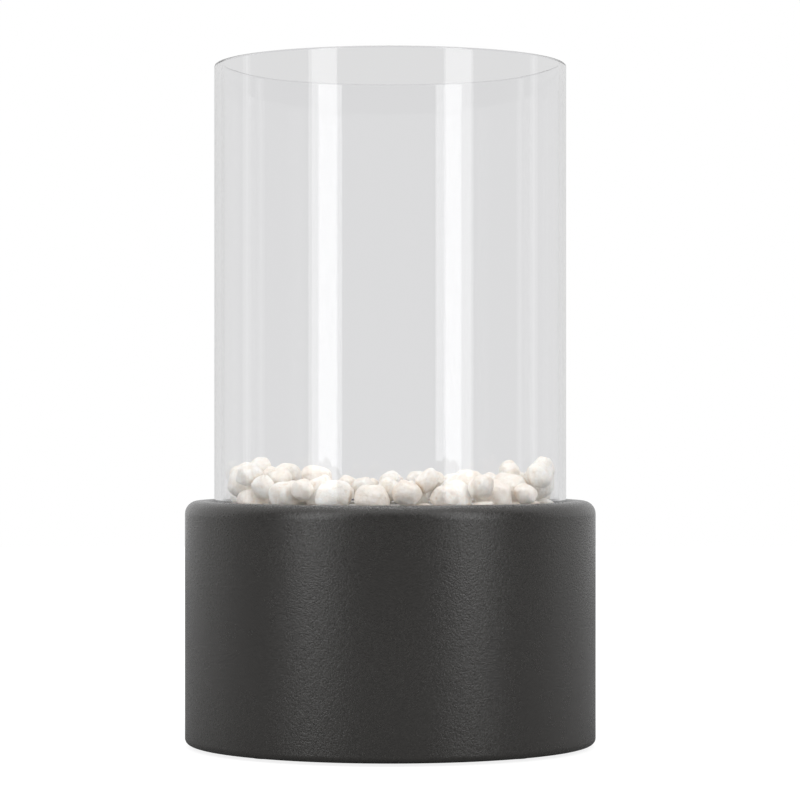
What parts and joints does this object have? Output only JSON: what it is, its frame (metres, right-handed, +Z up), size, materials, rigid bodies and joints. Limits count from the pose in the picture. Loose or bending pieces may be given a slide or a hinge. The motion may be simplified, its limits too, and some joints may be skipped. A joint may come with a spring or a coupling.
{
  "type": "tabletop ethanol fire",
  "caption": "Tabletop outdoor fire: spun powder-coated steel base, tall open glass cylinder, bed of marble pebbles round a lift-out burner with a turning damper.",
  "frame": {"origin": "on the table, at the centre under the base, where the rubber feet stand", "axes": "+Z up along the axis of the base and the glass; the damper's handle points along +Y at rest"},
  "size_m": [0.175, 0.175, 0.29],
  "materials": {
    "powder_coat": "textured powder coat, charcoal",
    "galvanised_steel": "galvanised sheet",
    "silicone": "translucent silicone",
    "rivet_steel": "bright steel",
    "zinc_plate": "zinc plated",
    "foot_rubber": "matt black rubber",
    "heat_glass": "clear borosilicate",
    "stainless": "deep-drawn stainless",
    "ceramic_fibre": "needled ceramic fibre",
    "stainless_screen": "perforated stainless",
    "spring_steel": "blued spring steel",
    "stainless_blade": "circular-brushed stainless",
    "marble_bottom": "tumbled marble",
    "marble_middle": "tumbled marble",
    "marble_top": "tumbled marble"
  },
  "bodies": {
    "base": {"outer_shell": "powder_coat", "deck_plate": "galvanised_steel", "glass_gasket": "silicone", "burner_well": "galvanised_steel", "well_rivets": "rivet_steel", "deck_screws": "zinc_plate", "clinch_nuts": "zinc_plate", "plate_brackets": "galvanised_steel", "bottom_plate": "galvanised_steel", "rubber_feet": "foot_rubber", "bottom_screws": "zinc_plate", "pebbles_bottom": "marble_bottom", "pebbles_middle": "marble_middle", "pebbles_top": "marble_top"},
    "glass": {"glass_cylinder": "heat_glass"},
    "burner": {"burner_can": "stainless", "burner_lid": "stainless", "fibre_wick": "ceramic_fibre", "wick_screen": "stainless_screen", "pivot_rivet": "rivet_steel", "cone_washer": "spring_steel", "stop_studs": "rivet_steel"},
    "damper": {"damper_blade": "stainless_blade"}
  },
  "joints": [
    {"name": "glass_lift", "type": "slide", "parent": "base", "child": "glass", "axis": [0, 0, 1], "range_m": [0, 0.06]},
    {"name": "burner_lift", "type": "slide", "parent": "base", "child": "burner", "axis": [0, 0, 1], "range_m": [0, 0.1]},
    {"name": "damper_turn", "type": "hinge", "parent": "burner", "child": "damper", "pos_m": [0, 0, 0.1043], "axis": [0, 0, 1], "range_deg": [0, 90]}
  ]
}
